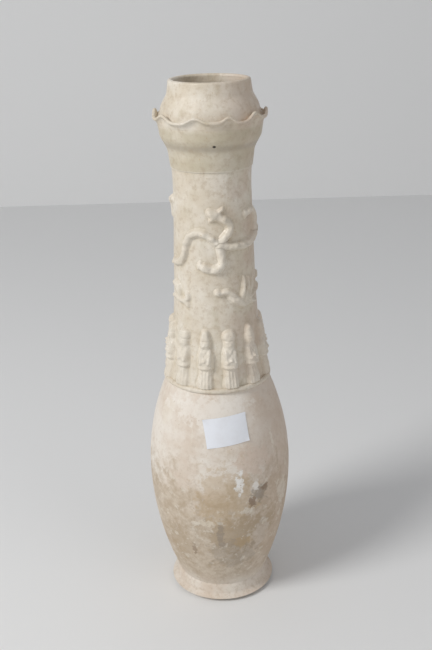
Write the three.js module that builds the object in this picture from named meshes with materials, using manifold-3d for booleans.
// A tall Chinese funerary vase of pale clay. It is thrown in sections that are luted rim to rim, and carries a
// pinched frill round its mouth, a roll of clay round its shoulder, and moulded figures, a dragon, a bird and
// clouds pressed on to its neck.
// Sizes are in millimetres and +Z is up. The origin is the centre of the foot, on the ground, and -Y is the front.
// A place on the wall is written as [degrees round from the front, height], with positive degrees to the right.
import * as THREE from "three";
import { mergeVertices } from "three/addons/utils/BufferGeometryUtils.js";
import Module from "manifold-3d";

const wasm = await Module();
wasm.setup();

// Thrown sections, from the ground up
const FOOT_HEIGHT = 16;
const FOOT_RADIUS = 46.9;
const FOOT_TOP_RADIUS = 43.9;
const FOOT_WALL = 9;
const FOOT_EDGE = 2.4;
const BASE_RECESS = 6;
const FLOOR_THICKNESS = 9;
const LOWER_BODY_HEIGHT = 118;
const UPPER_BODY_HEIGHT = 95;
const BELLY_RADIUS = 68.1;
const SHOULDER_RADIUS = 47.4;
const BODY_WALL = 5.6;
const NECK_HEIGHT = 197;
const NECK_FLARE_RADIUS = 39.6;
const NECK_FLARE_HEIGHT = 51;
const NECK_MIDDLE_RADIUS = 36.4;
const NECK_MIDDLE_HEIGHT = 122;
const NECK_WAIST_RADIUS = 34.9;
const NECK_WAIST_HEIGHT = 176;
const NECK_TOP_RADIUS = 35.4;
const NECK_WALL = 5;
const CUP_HEIGHT = 37;
const CUP_FOOT_RADIUS = 36.2;
const CUP_BEND_RADIUS = 38.9;
const CUP_BEND_HEIGHT = 16.5;
const CUP_BULGE_RADIUS = 43.9;
const CUP_BULGE_HEIGHT = 26;
const MOUTH_RADIUS = 45.8;
const COLLAR_HEIGHT = 37;
const COLLAR_SLOPE_RADIUS = 41.7;
const COLLAR_SLOPE_HEIGHT = 16.5;
const COLLAR_BEND_RADIUS = 37.6;
const COLLAR_BEND_HEIGHT = 24;
const RIM_RADIUS = 35.6;
const MOUTH_WALL = 4.7;
const LIP_EDGE = 1.3;

// Applied clay
const LUTING_GAP = 0.3;
const SHOULDER_ROLL_HEIGHT = 4.8;
const SHOULDER_ROLL_RELIEF = 3;
const FRILL_WAVES = 10;
const FRILL_RADIUS = 50.9;
const FRILL_THICKNESS = 2.2;
const FRILL_ROOT_BELOW = 1.5;
const FRILL_ROOT_ABOVE = 11;
const FRILL_RISE = 7.5;
const FRILL_WAVE_HEIGHT = 2.6;
const FRILL_WAVE_DEPTH = 0.5;
const FRILL_TURN = -2;
const FIGURE_COUNT = 12;
const FIGURE_TURN = 16;
const FIGURE_HEIGHT = 53;
const FIGURE_WIDTH = 13;
const FIGURE_RELIEF = 5;
const FIGURE_FOLDS = 4;
const FIGURE_CREASE = 0.25;
const DRAGON_HEIGHT = 132;
const DRAGON_WIDTH = 6.4;
const DRAGON_RELIEF = 3.9;
const LEG_WIDTH = 5.8;
const LEG_RELIEF = 3.6;
const CLAW_WIDTH = 1.9;
const CLAW_RELIEF = 2;
const BIRD_HEIGHT = 83;
const BIRD_WIDTH = 8;
const BIRD_RELIEF = 3.2;
const CLOUD_HEIGHT = 80;
const CLOUD_WIDTH = 5.2;
const CLOUD_RELIEF = 2.8;
const CLOUD_PLACES = [-58, 112, 172, 232];
const LABEL_WIDTH = 40;
const LABEL_HEIGHT = 26;
const LABEL_THICKNESS = 0.3;
const LABEL_TURN = 6.5;
const LABEL_TILT = 6.5;
const LABEL_ABOVE_BELLY = 60;

// Steps round the vase and along its curves
const ROUND_STEPS = 36;
const FRILL_STEPS_PER_WAVE = 6;
const BODY_STEPS = 6;
const NECK_STEPS = 6;
const MOUTH_STEPS = 6;
const SHOULDER_ROLL_STEPS = 60;

const BELLY = FOOT_HEIGHT + LOWER_BODY_HEIGHT;
const SHOULDER = BELLY + UPPER_BODY_HEIGHT;
const NECK_TOP = SHOULDER + NECK_HEIGHT;
const MOUTH = NECK_TOP + CUP_HEIGHT;
const RIM = MOUTH + COLLAR_HEIGHT;

// Outlines of the outer wall, each from its lower end to its upper end, as [radius, height]

const point = (radius, height) => new THREE.Vector2(radius, height);

const footOutline = [
  point(FOOT_RADIUS - FOOT_EDGE, 0),
  ...new THREE.QuadraticBezierCurve(
    point(FOOT_RADIUS, FOOT_EDGE),
    point(FOOT_RADIUS, FOOT_HEIGHT / 2),
    point(FOOT_TOP_RADIUS, FOOT_HEIGHT),
  ).getPoints(3),
];

const lowerBodyOutline = new THREE.QuadraticBezierCurve(
  point(FOOT_TOP_RADIUS, FOOT_HEIGHT),
  point(BELLY_RADIUS, FOOT_HEIGHT + LOWER_BODY_HEIGHT / 2),
  point(BELLY_RADIUS, BELLY),
).getPoints(BODY_STEPS);

const upperBodyOutline = new THREE.QuadraticBezierCurve(
  point(BELLY_RADIUS, BELLY),
  point(BELLY_RADIUS, BELLY + UPPER_BODY_HEIGHT / 2),
  point(SHOULDER_RADIUS, SHOULDER),
).getPoints(BODY_STEPS);

const neckOutline = new THREE.SplineCurve([
  point(SHOULDER_RADIUS, SHOULDER),
  point(NECK_FLARE_RADIUS, SHOULDER + NECK_FLARE_HEIGHT),
  point(NECK_MIDDLE_RADIUS, SHOULDER + NECK_MIDDLE_HEIGHT),
  point(NECK_WAIST_RADIUS, SHOULDER + NECK_WAIST_HEIGHT),
  point(NECK_TOP_RADIUS, NECK_TOP),
]).getPoints(NECK_STEPS);

const cupOutline = new THREE.SplineCurve([
  point(CUP_FOOT_RADIUS, NECK_TOP),
  point(CUP_BEND_RADIUS, NECK_TOP + CUP_BEND_HEIGHT),
  point(CUP_BULGE_RADIUS, NECK_TOP + CUP_BULGE_HEIGHT),
  point(MOUTH_RADIUS, MOUTH),
]).getPoints(MOUTH_STEPS);

const collarOutline = new THREE.SplineCurve([
  point(MOUTH_RADIUS, MOUTH),
  point(COLLAR_SLOPE_RADIUS, MOUTH + COLLAR_SLOPE_HEIGHT),
  point(COLLAR_BEND_RADIUS, MOUTH + COLLAR_BEND_HEIGHT),
  point(RIM_RADIUS, RIM - LIP_EDGE),
]).getPoints(MOUTH_STEPS);

const wallOutline = [footOutline, lowerBodyOutline, upperBodyOutline, neckOutline, cupOutline, collarOutline].flat();

// The outer wall's radius at a height
function wallRadius(height) {
  const above = wallOutline.findIndex((p, i) => i > 0 && p.y > height);
  if (above < 0) return wallOutline.at(-1).x;
  const low = wallOutline[above - 1];
  const high = wallOutline[above];
  return THREE.MathUtils.mapLinear(height, low.y, high.y, low.x, high.x);
}

// Solids

// A section thrown on the wheel, turned round +Z from its closed outline
function thrown(outline) {
  return new THREE.LatheGeometry(outline, ROUND_STEPS).rotateX(Math.PI / 2);
}

// The inner face of a wall, from the top down: every second point of its outer outline, set in by its thickness
function innerOutline(outer, thickness) {
  return outer.filter((_, i) => i % 2 === 0).map((p) => point(p.x - thickness, p.y)).reverse();
}

// An open wall between its outer outline and its inner one
function thrownWall(outer, thickness) {
  return thrown([...outer, ...innerOutline(outer, thickness), outer[0]]);
}

// A solid skinned over rings of points that are all alike in number, with its ends closed unless it is a loop
function skinned(rings, isLoop = false) {
  const size = rings[0].length;
  const faces = [];
  const spans = isLoop ? rings.length : rings.length - 1;
  for (let i = 0; i < spans; i++) {
    const here = i * size;
    const next = ((i + 1) % rings.length) * size;
    for (let j = 0; j < size; j++) {
      const k = (j + 1) % size;
      faces.push(here + j, here + k, next + k, here + j, next + k, next + j);
    }
  }
  const last = (rings.length - 1) * size;
  for (let j = 0; j < size - 2 && !isLoop; j++) {
    const low = Math.ceil(j / 2);
    const high = size - 1 - Math.floor(j / 2);
    const next = j % 2 ? high - 1 : low + 1;
    faces.push(low, high, next, last + low, last + next, last + high);
  }
  return new THREE.BufferGeometry().setFromPoints(rings.flat()).setIndex(faces);
}

// A point that stands off the wall: a place on it, then a shift along it to the right and up, then a relief
function onWall([degrees, height], right, up, relief) {
  const z = height + up;
  const angle = THREE.MathUtils.degToRad(degrees) + right / wallRadius(z);
  const radius = wallRadius(z) + LUTING_GAP + relief;
  return new THREE.Vector3(radius * Math.sin(angle), -radius * Math.cos(angle), z);
}

// The swelling of a roll of clay along its length: 1 in the middle, and the given sizes at its two ends
function swelling(t, start, end) {
  const tip = t < 0.5 ? start : end;
  return tip + (1 - tip) * Math.sqrt(Math.sin(Math.PI * t));
}

// A roll of clay pressed on to the wall along a path of places, as a manifold solid. Its section is a half round
// on a flat back, and spare makes it larger all round, to cut a neighbour clear of it.
function roll({ path, width, relief, start = 0.35, end = 0.35, steps = 9 }, spare = 0) {
  const mean = path.reduce((sum, [, height]) => sum + wallRadius(SHOULDER + height), 0) / path.length;
  const flat = new THREE.SplineCurve(
    path.map(([degrees, height]) => point(THREE.MathUtils.degToRad(degrees) * mean, SHOULDER + height)),
  );
  const rings = [];
  for (let i = 0; i <= steps; i++) {
    const t = i / steps;
    const centre = flat.getPointAt(t);
    const ahead = flat.getTangentAt(t);
    const size = swelling(t, start, end);
    const place = [THREE.MathUtils.radToDeg(centre.x / mean), centre.y];
    const beyond = i === 0 ? -spare : i === steps ? spare : 0;
    const across = (share, rise) => {
      const side = share * ((size * width) / 2 + spare);
      const right = ahead.x * beyond - ahead.y * side;
      return onWall(place, right, ahead.y * beyond + ahead.x * side, rise * (size * relief + spare));
    };
    const arc = [0, 45, 90, 135, 180].map((a) => THREE.MathUtils.degToRad(a));
    rings.push([...arc.map((a) => across(Math.cos(a), Math.sin(a))), across(0, 0)]);
  }
  return solid(skinned(rings));
}

// A geometry as a manifold solid
function solid(geometry) {
  const bare = mergeVertices(new THREE.BufferGeometry().setAttribute("position", geometry.getAttribute("position"))
    .setIndex(geometry.index));
  return new wasm.Manifold(new wasm.Mesh({
    numProp: 3,
    vertProperties: bare.getAttribute("position").array,
    triVerts: new Uint32Array(bare.index.array),
  }));
}

// A manifold solid as a geometry
function geometryOf(made) {
  const { vertProperties, triVerts } = made.getMesh();
  return new THREE.BufferGeometry()
    .setAttribute("position", new THREE.BufferAttribute(vertProperties, 3))
    .setIndex(new THREE.BufferAttribute(triVerts, 1));
}

// Rolls joined into one sprig of clay, cut clear of the sprigs that were laid before it
function sprig(rolls, laidBefore = []) {
  const joined = rolls.map((r) => roll(r)).reduce((all, one) => all.add(one));
  const cut = laidBefore.flat().reduce((left, r) => left.subtract(roll(r, LUTING_GAP)), joined);
  const pieces = cut.decompose().sort((a, b) => b.volume() - a.volume());
  return geometryOf(pieces[0]);
}

// The thrown sections

function footRing() {
  const bore = FOOT_TOP_RADIUS - FOOT_WALL;
  return thrown([
    ...footOutline,
    point(bore, FOOT_HEIGHT),
    point(bore, FOOT_EDGE / 2),
    point(bore + FOOT_EDGE / 2, 0),
    footOutline[0],
  ]);
}

function lowerBody() {
  const plug = FOOT_TOP_RADIUS - FOOT_WALL - LUTING_GAP;
  const floor = BASE_RECESS + FLOOR_THICKNESS;
  const inner = innerOutline(lowerBodyOutline, BODY_WALL).filter((p) => p.y > floor + BODY_WALL);
  return thrown([
    point(0, BASE_RECESS),
    point(plug, BASE_RECESS),
    point(plug, FOOT_HEIGHT),
    ...lowerBodyOutline,
    ...inner,
    point(FOOT_TOP_RADIUS - 2 * BODY_WALL, floor),
    point(0, floor),
  ]);
}

function mouthCollar() {
  return thrown([
    ...collarOutline,
    point(RIM_RADIUS - LIP_EDGE, RIM),
    point(RIM_RADIUS - MOUTH_WALL + LIP_EDGE, RIM),
    ...innerOutline(collarOutline, MOUTH_WALL),
    collarOutline[0],
  ]);
}

// The applied clay

// The half-round roll that covers the joint of body and neck
function shoulderRoll() {
  const half = SHOULDER_ROLL_HEIGHT / 2;
  const rings = [];
  for (let i = 0; i < SHOULDER_ROLL_STEPS; i++) {
    const place = [(360 * i) / SHOULDER_ROLL_STEPS, SHOULDER];
    const arc = [90, 45, 0, -45, -90].map((a) => THREE.MathUtils.degToRad(a));
    rings.push(arc.map((a) => onWall(place, 0, half * Math.sin(a), SHOULDER_ROLL_RELIEF * Math.cos(a))));
  }
  return skinned(rings, true);
}

// The frill: a strip that stands out from the widest part of the mouth, its free edge pinched into waves
function frill() {
  const steps = FRILL_WAVES * FRILL_STEPS_PER_WAVE;
  const rings = [];
  for (let i = 0; i < steps; i++) {
    const degrees = (360 * i) / steps;
    const wave = -Math.cos(FRILL_WAVES * THREE.MathUtils.degToRad(degrees - FRILL_TURN));
    const edge = FRILL_RISE + FRILL_WAVE_HEIGHT * wave;
    const reach = FRILL_RADIUS - FRILL_WAVE_DEPTH * wave - MOUTH_RADIUS - LUTING_GAP;
    const place = [degrees, MOUTH];
    const swing = MOUTH_RADIUS - wallRadius(MOUTH + edge);
    rings.push([
      onWall(place, 0, FRILL_ROOT_ABOVE, 0),
      onWall(place, 0, edge + 0.3 * FRILL_THICKNESS, swing + reach - 0.5 * FRILL_THICKNESS),
      onWall(place, 0, edge - 0.4 * FRILL_THICKNESS, swing + reach),
      onWall(place, 0, edge - 1.4 * FRILL_THICKNESS, swing + reach - FRILL_THICKNESS),
      onWall(place, 0, -FRILL_ROOT_BELOW, 0),
      onWall(place, 0, 0, 0),
      onWall(place, 0, FRILL_ROOT_ABOVE / 2, 0),
    ]);
  }
  return skinned(rings, true);
}

// A robed figure with folded sleeves, as [height, half width, relief] shares from its hem to the top of its hat
const HEM = [[0, 0.94, 0.66], [0.06, 1, 0.74], [0.2, 0.78, 0.6], [0.33, 0.66, 0.56]];
const SLEEVES = [[0.345, 0.84, 0.96], [0.45, 0.92, 1], [0.58, 0.86, 0.82], [0.66, 0.7, 0.62]];
const HEAD = [[0.7, 0.46, 0.56], [0.75, 0.58, 0.86], [0.81, 0.6, 0.92], [0.85, 0.56, 0.8]];
const TALL_HAT = [[0.87, 0.46, 0.82], [0.96, 0.34, 0.6], [1, 0.14, 0.3]];
const ROUND_HAT = [[0.87, 0.76, 0.9], [0.93, 0.66, 0.74], [0.97, 0.3, 0.4]];

function figure(number) {
  const place = [FIGURE_TURN + (360 * number) / FIGURE_COUNT, SHOULDER + SHOULDER_ROLL_HEIGHT / 2 + LUTING_GAP];
  const stations = [...HEM, ...SLEEVES, ...HEAD, ...(number % 2 ? TALL_HAT : ROUND_HAT)];
  const rings = stations.map(([height, width, relief]) => {
    const up = height * FIGURE_HEIGHT;
    const half = (width * FIGURE_WIDTH) / 2;
    const crease = height < SLEEVES[0][0] ? FIGURE_CREASE : 0;
    const front = [];
    for (let k = 0; k <= 2 * FIGURE_FOLDS; k++) {
      const a = (k * Math.PI) / (2 * FIGURE_FOLDS);
      const fold = k % 2 ? 1 : 1 - crease;
      front.push(onWall(place, -half * Math.cos(a), up, FIGURE_RELIEF * relief * Math.sin(a) * fold));
    }
    return [...front, onWall(place, 0, up, 0)];
  });
  return skinned(rings);
}

// Claws that fan out from a place, towards a heading in degrees above the right
function claws([degrees, height], heading) {
  return [-40, 0, 40].map((spread) => {
    const a = THREE.MathUtils.degToRad(heading + spread);
    const reach = 2.6 * CLAW_WIDTH;
    const turn = THREE.MathUtils.radToDeg(1 / wallRadius(SHOULDER + height));
    return {
      path: [[degrees, height], [degrees + reach * turn * Math.cos(a), height + reach * Math.sin(a)]],
      width: CLAW_WIDTH, relief: CLAW_RELIEF, start: 1, end: 0.6, steps: 2,
    };
  });
}

// The dragon crawls round the neck from the back to the front. Heights count from the middle of its body.
const dragonPath = (places) => places.map(([degrees, height]) => [degrees, DRAGON_HEIGHT + height]);
const body = { width: DRAGON_WIDTH, relief: DRAGON_RELIEF };
const leg = { width: LEG_WIDTH, relief: LEG_RELIEF, start: 0.9 };

const DRAGON = {
  body: [{ ...body, path: dragonPath([[5, 2], [20, 0], [40, -1], [60, 0], [78, 6]]), start: 0.8, end: 1 }],
  back: [{
    ...body, path: dragonPath([[76, 5], [95, 12], [118, 24], [142, 27], [166, 18], [188, 5], [208, -2]]),
    start: 1, end: 1, steps: 14,
  }],
  tail: [{
    ...body, path: dragonPath([[206, -2], [226, 2], [244, 14], [258, 29], [272, 38], [284, 36]]),
    start: 1, end: 0.25, steps: 12,
  }],
  head: [
    { ...body, path: dragonPath([[6, 4], [17, 9], [24, 16], [19, 22], [8, 26]]), start: 0.8, end: 0.9, steps: 10 },
    { path: dragonPath([[12, 25.5], [3, 28], [-8, 32]]), width: 7, relief: 4.4, start: 0.6, end: 0.45, steps: 7 },
    { path: dragonPath([[6, 29], [14, 34]]), width: 2.2, relief: 2.4, start: 1, end: 0.5, steps: 4 },
    { path: dragonPath([[0, 26], [-5, 22.5]]), width: 2.2, relief: 2.2, start: 1, end: 0.5, steps: 4 },
  ],
  left_foreleg: [
    {
      ...leg, path: dragonPath([[4, 4], [-8, 10.5], [-22, 12.5], [-35, 9], [-42, 0], [-46, -11], [-55, -17], [-68, -17]]),
      end: 1.1, steps: 14,
    },
    ...claws([-68, DRAGON_HEIGHT - 17], 180),
  ],
  right_foreleg: [
    { ...leg, path: dragonPath([[8, 1], [10.5, -8], [11, -15], [4, -20], [-8, -20], [-16, -17]]), end: 1.1, steps: 10 },
    ...claws([-16, DRAGON_HEIGHT - 17], 170),
  ],
  right_hind_leg: [
    { ...leg, path: dragonPath([[74, 6], [79, 14], [76, 23], [66, 28], [56, 26]]), end: 0.8, steps: 10 },
    ...claws([56, DRAGON_HEIGHT + 26], 190),
  ],
  left_hind_leg: [
    { ...leg, path: dragonPath([[150, 25], [158, 34], [170, 37], [182, 33]]), end: 0.8 },
    ...claws([182, DRAGON_HEIGHT + 33], -20),
  ],
};

// The bird flies to the left with its wing raised. Heights count from the middle of its body.
const birdPath = (places) => places.map(([degrees, height]) => [degrees, BIRD_HEIGHT + height]);
const feather = { width: BIRD_WIDTH / 3, relief: 0.8 * BIRD_RELIEF, start: 1, end: 0.5, steps: 4 };

const BIRD = [
  { path: birdPath([[18, 5], [30, -1], [44, -5], [56, -3]]), width: BIRD_WIDTH, relief: BIRD_RELIEF },
  { path: birdPath([[4, 5], [12, 8], [22, 6], [32, 0]]), width: BIRD_WIDTH / 2, relief: BIRD_RELIEF, steps: 7 },
  { path: birdPath([[2, 10], [5, 6]]), width: BIRD_WIDTH / 1.6, relief: 1.1 * BIRD_RELIEF, steps: 5 },
  ...[0, 1, 2].map((k) => ({ ...feather, path: birdPath([[37 + 6 * k, -2], [42 + 8 * k, 9], [44 + 9 * k, 19 - k]]) })),
  ...[0, 1].map((k) => ({ ...feather, path: birdPath([[50, -3 + k], [62, -7 + 7 * k], [74, -8 + 10 * k]]) })),
];

// A cloud of two scrolls, one over the other, with a trailing wisp
function cloud(place) {
  const path = (places) => places.map(([degrees, height]) => [place + degrees, CLOUD_HEIGHT + height]);
  const scroll = { width: CLOUD_WIDTH, relief: CLOUD_RELIEF };
  return [
    { ...scroll, path: path([[-20, 0], [-8, 3], [4, 1], [14, 0], [20, -4]]) },
    { ...scroll, path: path([[-18, 12], [-10, 15], [0, 11], [4, 3]]), steps: 7 },
    { ...scroll, path: path([[12, 1], [20, 5], [14, 9]]), width: 0.7 * CLOUD_WIDTH, steps: 6 },
  ];
}

// The paper label, bare, stuck aslant on the upper body
function paperLabel() {
  const tilt = THREE.MathUtils.degToRad(LABEL_TILT);
  const place = [LABEL_TURN, BELLY + LABEL_ABOVE_BELLY];
  const at = (across, up, relief) => {
    const right = across * Math.cos(tilt) - up * Math.sin(tilt);
    return onWall(place, right, across * Math.sin(tilt) + up * Math.cos(tilt), relief);
  };
  const columns = [-0.5, -0.375, -0.25, -0.125, 0, 0.125, 0.25, 0.375, 0.5].map((share) => share * LABEL_WIDTH);
  const rows = [-0.5, 0, 0.5].map((share) => share * LABEL_HEIGHT);
  return skinned(columns.map((across) => [
    ...rows.map((up) => at(across, up, 0)),
    ...rows.map((up) => at(across, up, LABEL_THICKNESS)).reverse(),
  ]));
}

// The finished vase

const glazedClay = new THREE.MeshStandardMaterial({ color: 0xd8cdb8, roughness: 0.4, metalness: 0 });
const bareClay = new THREE.MeshStandardMaterial({ color: 0xd2bfa3, roughness: 0.85, metalness: 0 });
const paper = new THREE.MeshStandardMaterial({ color: 0xf0f0f4, roughness: 0.9, metalness: 0 });

const vase = new THREE.Group();

function add(name, geometry, material) {
  const mesh = new THREE.Mesh(geometry, material);
  mesh.name = name;
  vase.add(mesh);
}

add("foot_ring", footRing(), bareClay);
add("lower_body", lowerBody(), bareClay);
add("upper_body", thrownWall(upperBodyOutline, BODY_WALL), bareClay);
add("neck", thrownWall(neckOutline, NECK_WALL), glazedClay);
add("mouth_cup", thrownWall(cupOutline, MOUTH_WALL), glazedClay);
add("mouth_collar", mouthCollar(), glazedClay);
add("shoulder_roll", shoulderRoll(), glazedClay);
add("mouth_frill", frill(), glazedClay);
for (let i = 0; i < FIGURE_COUNT; i++) {
  add(`figure_${String(i + 1).padStart(2, "0")}`, figure(i), glazedClay);
}
const laid = [];
for (const [name, rolls] of Object.entries(DRAGON)) {
  add(`dragon_${name}`, sprig(rolls, laid), glazedClay);
  laid.push(rolls);
}
add("bird", sprig(BIRD), glazedClay);
CLOUD_PLACES.forEach((place, i) => add(`cloud_${i + 1}`, sprig(cloud(place)), glazedClay));
add("paper_label", paperLabel(), paper);

export default vase;
